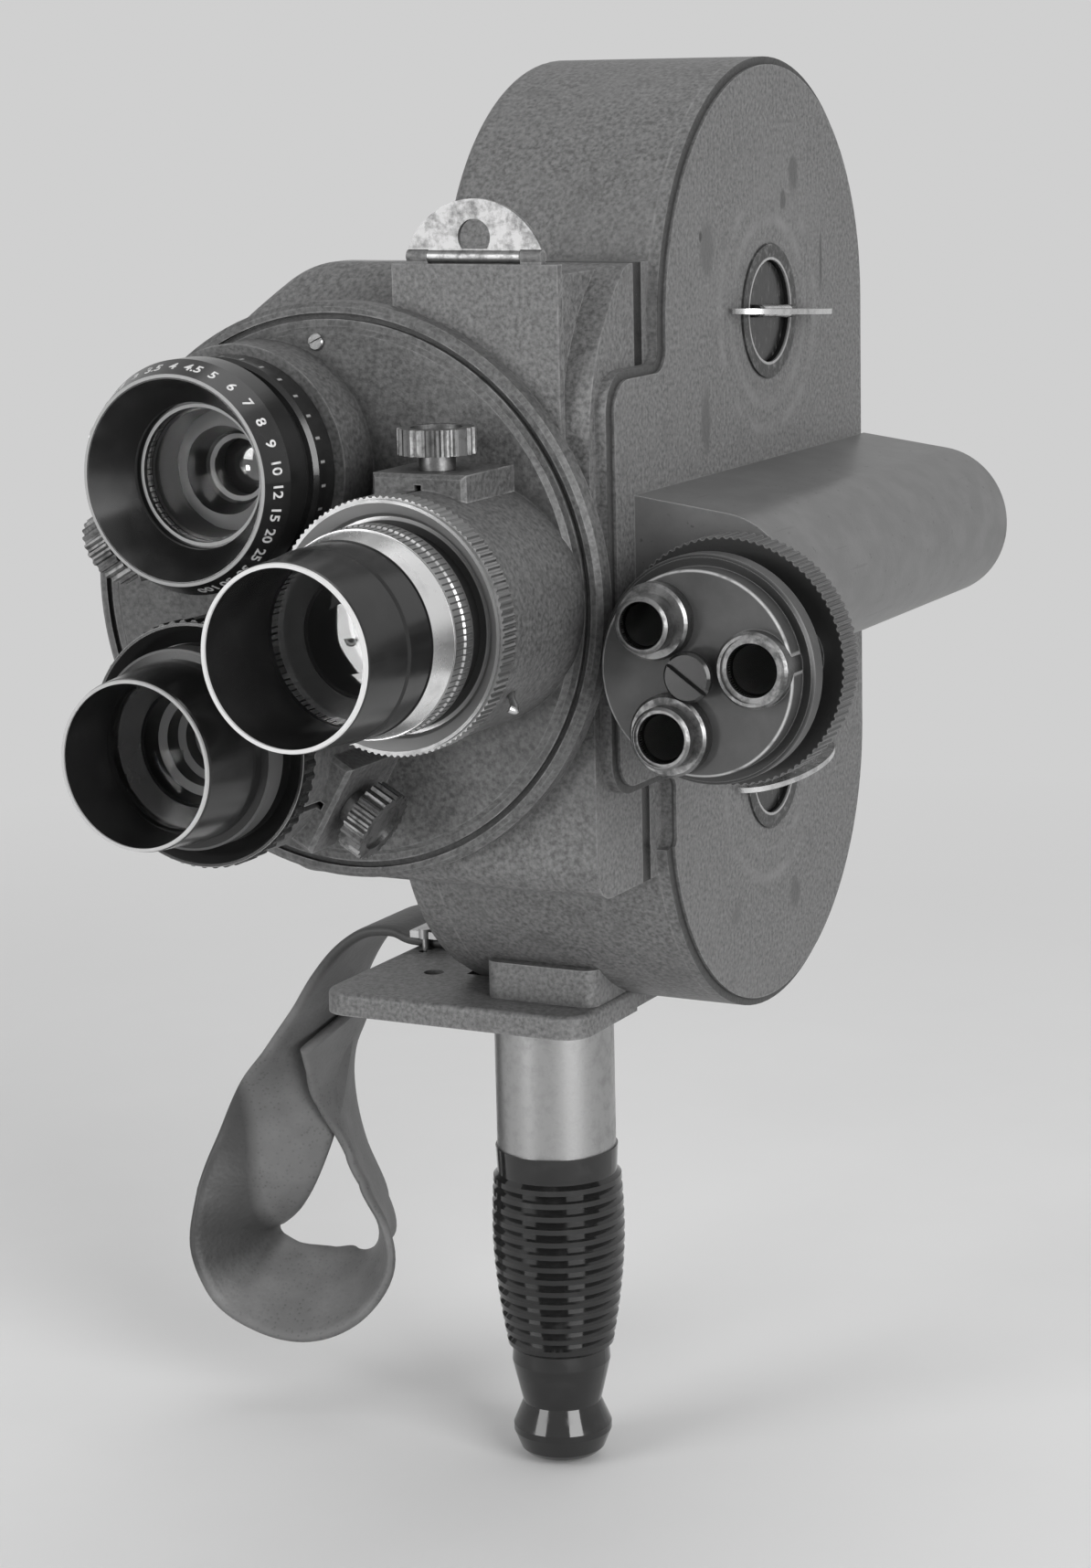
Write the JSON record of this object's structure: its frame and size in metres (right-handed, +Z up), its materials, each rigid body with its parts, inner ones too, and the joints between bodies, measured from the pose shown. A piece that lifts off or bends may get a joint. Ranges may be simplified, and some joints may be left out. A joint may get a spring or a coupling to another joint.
{
  "type": "movie camera",
  "caption": "Spring driven film movie camera: turning lens turret, side finder on a lift-off film door, folding sight, film spools and gears inside, ribbed handle and hand strap.",
  "frame": {"origin": "centre of the base plate's underside, on the axis of the handle", "axes": "+Z up, the lenses look along -Y, the film door and finder are on the +X side"},
  "size_m": [0.1965, 0.2161, 0.3115],
  "materials": {
    "crackle_paint": "wrinkle",
    "finder_paint": "satin",
    "black_paint": "gloss",
    "nickel": "worn polish",
    "steel": "satin",
    "lens_silver": "polished",
    "brass": "satin",
    "spool_paint": "satin",
    "handle_black": "gloss",
    "leather": "matte",
    "glass": "coated"
  },
  "bodies": {
    "camera": {"main_casting": "crackle_paint", "mechanism_plate": "steel", "spring_cover": "crackle_paint", "front_housing": "crackle_paint", "housing_back_plate": "black_paint", "base_plate": "crackle_paint", "base_screws": "steel", "handle_ferrule": "nickel", "handle_grip": "handle_black", "turret_pivot": "steel", "sight_bracket": "crackle_paint", "gate_plate": "nickel", "film_shoes": "steel", "pressure_spring": "steel", "strap_clamp": "steel", "hand_strap": "leather"},
    "turret": {"lens_turret": "crackle_paint", "clamp_blocks": "crackle_paint", "lens_a_barrel": "lens_silver", "lens_a_hood": "black_paint", "lens_b_barrel": "lens_silver", "lens_c_barrel": "finder_paint", "lens_c_hood": "black_paint", "lens_glasses": "glass"},
    "clamp_a": {"clamp_screw_a": "nickel"},
    "clamp_b": {"clamp_screw_b": "nickel"},
    "clamp_c": {"clamp_screw_c": "nickel"},
    "focus_a": {"lens_a_focus_ring": "nickel"},
    "iris_a": {"lens_a_iris_ring": "lens_silver"},
    "focus_b": {"lens_b_focus_ring": "black_paint"},
    "iris_b": {"lens_b_iris_ring": "black_paint"},
    "focus_c": {"lens_c_focus_ring": "black_paint"},
    "sight": {"sight_leaf": "nickel"},
    "door": {"film_door": "crackle_paint", "finder_tube": "finder_paint", "finder_screw": "black_paint"},
    "lock_upper": {"upper_lock": "crackle_paint"},
    "lock_lower": {"lower_lock": "crackle_paint"},
    "wing_upper": {"upper_wing": "nickel"},
    "wing_lower": {"lower_wing": "nickel"},
    "finder_head": {"finder_turret": "finder_paint", "finder_objectives": "nickel", "finder_glasses": "glass"},
    "eyepiece": {"eyepiece_ring": "black_paint", "eyepiece_glass": "glass"},
    "winding": {"winding_arbor": "steel", "winding_key": "nickel"},
    "barrel": {"spring_barrel": "steel", "mainspring": "steel"},
    "idler": {"idler_gear": "brass"},
    "sprocket": {"film_sprocket": "steel"},
    "shutter": {"shutter_disc": "black_paint"},
    "supply": {"supply_spindle": "steel", "supply_spool": "spool_paint"},
    "take_up": {"take_up_spindle": "steel", "take_up_spool": "spool_paint"},
    "pressure": {"pressure_plate": "steel"},
    "footage": {"footage_dial": "black_paint"},
    "speed": {"speed_dial": "black_paint"},
    "release": {"release_lever": "nickel"}
  },
  "joints": [
    {"name": "turret_spin", "type": "hinge", "parent": "camera", "child": "turret", "pos_m": [-0.0015, 0, 0.099], "axis": [0, 1, 0], "continuous": true},
    {"name": "focus_a_turn", "type": "hinge", "parent": "turret", "child": "focus_a", "pos_m": [0.0284, -0.1141, 0.099], "axis": [0, 1, 0], "range_deg": [-60, 210]},
    {"name": "iris_a_turn", "type": "hinge", "parent": "turret", "child": "iris_a", "pos_m": [0.0284, -0.1222, 0.099], "axis": [0, 1, 0], "range_deg": [-30, 60]},
    {"name": "focus_b_turn", "type": "hinge", "parent": "turret", "child": "focus_b", "pos_m": [-0.01645, -0.1086, 0.12489], "axis": [0, 1, 0], "range_deg": [-30, 270]},
    {"name": "iris_b_turn", "type": "hinge", "parent": "turret", "child": "iris_b", "pos_m": [-0.01645, -0.0971, 0.12489], "axis": [0, 1, 0], "range_deg": [-30, 75]},
    {"name": "focus_c_turn", "type": "hinge", "parent": "turret", "child": "focus_c", "pos_m": [-0.01645, -0.1121, 0.07311], "axis": [0, 1, 0], "range_deg": [-90, 180]},
    {"name": "clamp_a_turn", "type": "hinge", "parent": "turret", "child": "clamp_a", "pos_m": [0.0284, -0.098, 0.129], "axis": [0, 0, 1], "range_deg": [0, 360]},
    {"name": "clamp_b_turn", "type": "hinge", "parent": "turret", "child": "clamp_b", "pos_m": [-0.04243, -0.098, 0.10989], "axis": [-0.866, 0, -0.5], "range_deg": [0, 360]},
    {"name": "clamp_c_turn", "type": "hinge", "parent": "turret", "child": "clamp_c", "pos_m": [0.00953, -0.098, 0.05811], "axis": [0.866, 0, -0.5], "range_deg": [0, 360]},
    {"name": "sight_fold", "type": "hinge", "parent": "camera", "child": "sight", "pos_m": [0.0275, -0.079, 0.1648], "axis": [-1, 0, 0], "range_deg": [0, 90]},
    {"name": "door_slide", "type": "slide", "parent": "camera", "child": "door", "axis": [1, 0, 0], "range_m": [0, 0.06]},
    {"name": "upper_lock_turn", "type": "hinge", "parent": "door", "child": "lock_upper", "pos_m": [0.054, 0, 0.149], "axis": [1, 0, 0], "range_deg": [0, 90]},
    {"name": "lower_lock_turn", "type": "hinge", "parent": "door", "child": "lock_lower", "pos_m": [0.054, 0, 0.053], "axis": [1, 0, 0], "range_deg": [-5, 85]},
    {"name": "upper_wing_fold", "type": "hinge", "parent": "lock_upper", "child": "wing_upper", "pos_m": [0.05515, 0, 0.149], "axis": [0, 0.9976, -0.0698], "range_deg": [0, 90]},
    {"name": "lower_wing_fold", "type": "hinge", "parent": "lock_lower", "child": "wing_lower", "pos_m": [0.05515, 0, 0.053], "axis": [0, 0.9962, 0.0872], "range_deg": [0, 90]},
    {"name": "finder_head_spin", "type": "hinge", "parent": "door", "child": "finder_head", "pos_m": [0.0784, 0, 0.0886], "axis": [0, 1, 0], "continuous": true},
    {"name": "eyepiece_focus", "type": "hinge", "parent": "door", "child": "eyepiece", "pos_m": [0.0714, 0.052, 0.0994], "axis": [0, 1, 0], "range_deg": [-90, 90]},
    {"name": "winding_key_turn", "type": "hinge", "parent": "camera", "child": "winding", "pos_m": [0, 0, 0.053], "axis": [1, 0, 0], "continuous": true},
    {"name": "barrel_spin", "type": "hinge", "parent": "camera", "child": "barrel", "pos_m": [0, 0, 0.053], "axis": [1, 0, 0], "continuous": true},
    {"name": "idler_spin", "type": "hinge", "parent": "camera", "child": "idler", "pos_m": [0, -0.02356, 0.09268], "axis": [1, 0, 0], "continuous": true},
    {"name": "sprocket_spin", "type": "hinge", "parent": "camera", "child": "sprocket", "pos_m": [0, -0.03501, 0.101], "axis": [1, 0, 0], "continuous": true},
    {"name": "shutter_spin", "type": "hinge", "parent": "camera", "child": "shutter", "pos_m": [-0.0015, 0, 0.099], "axis": [0, 1, 0], "continuous": true},
    {"name": "supply_spin", "type": "hinge", "parent": "camera", "child": "supply", "pos_m": [0, 0, 0.149], "axis": [1, 0, 0], "continuous": true},
    {"name": "take_up_spin", "type": "hinge", "parent": "camera", "child": "take_up", "pos_m": [0, 0, 0.053], "axis": [1, 0, 0], "continuous": true},
    {"name": "pressure_slide", "type": "slide", "parent": "camera", "child": "pressure", "axis": [0, 1, 0], "range_m": [0, 0.0015], "stiffness_N_per_m": 400, "springref_m": -0.002, "deforming": ["pressure_spring"]},
    {"name": "speed_dial_turn", "type": "hinge", "parent": "camera", "child": "speed", "pos_m": [0, 0.022, 0.127], "axis": [-1, 0, 0], "range_deg": [-135, 135]},
    {"name": "footage_dial_turn", "type": "hinge", "parent": "camera", "child": "footage", "pos_m": [0, -0.018, 0.147], "axis": [-1, 0, 0], "range_deg": [0, 330]},
    {"name": "release_turn", "type": "hinge", "parent": "camera", "child": "release", "pos_m": [-0.065, -0.0675, 0.112], "axis": [1, 0, 0], "range_deg": [0, 25], "stiffness_Nm_per_rad": 0.02, "springref_deg": -11.46}
  ],
  "couplings": [
    {"joint": "idler_spin", "follows": "barrel_spin", "ratio": -6.6667},
    {"joint": "sprocket_spin", "follows": "barrel_spin", "ratio": 5},
    {"joint": "shutter_spin", "follows": "barrel_spin", "ratio": 15}
  ]
}
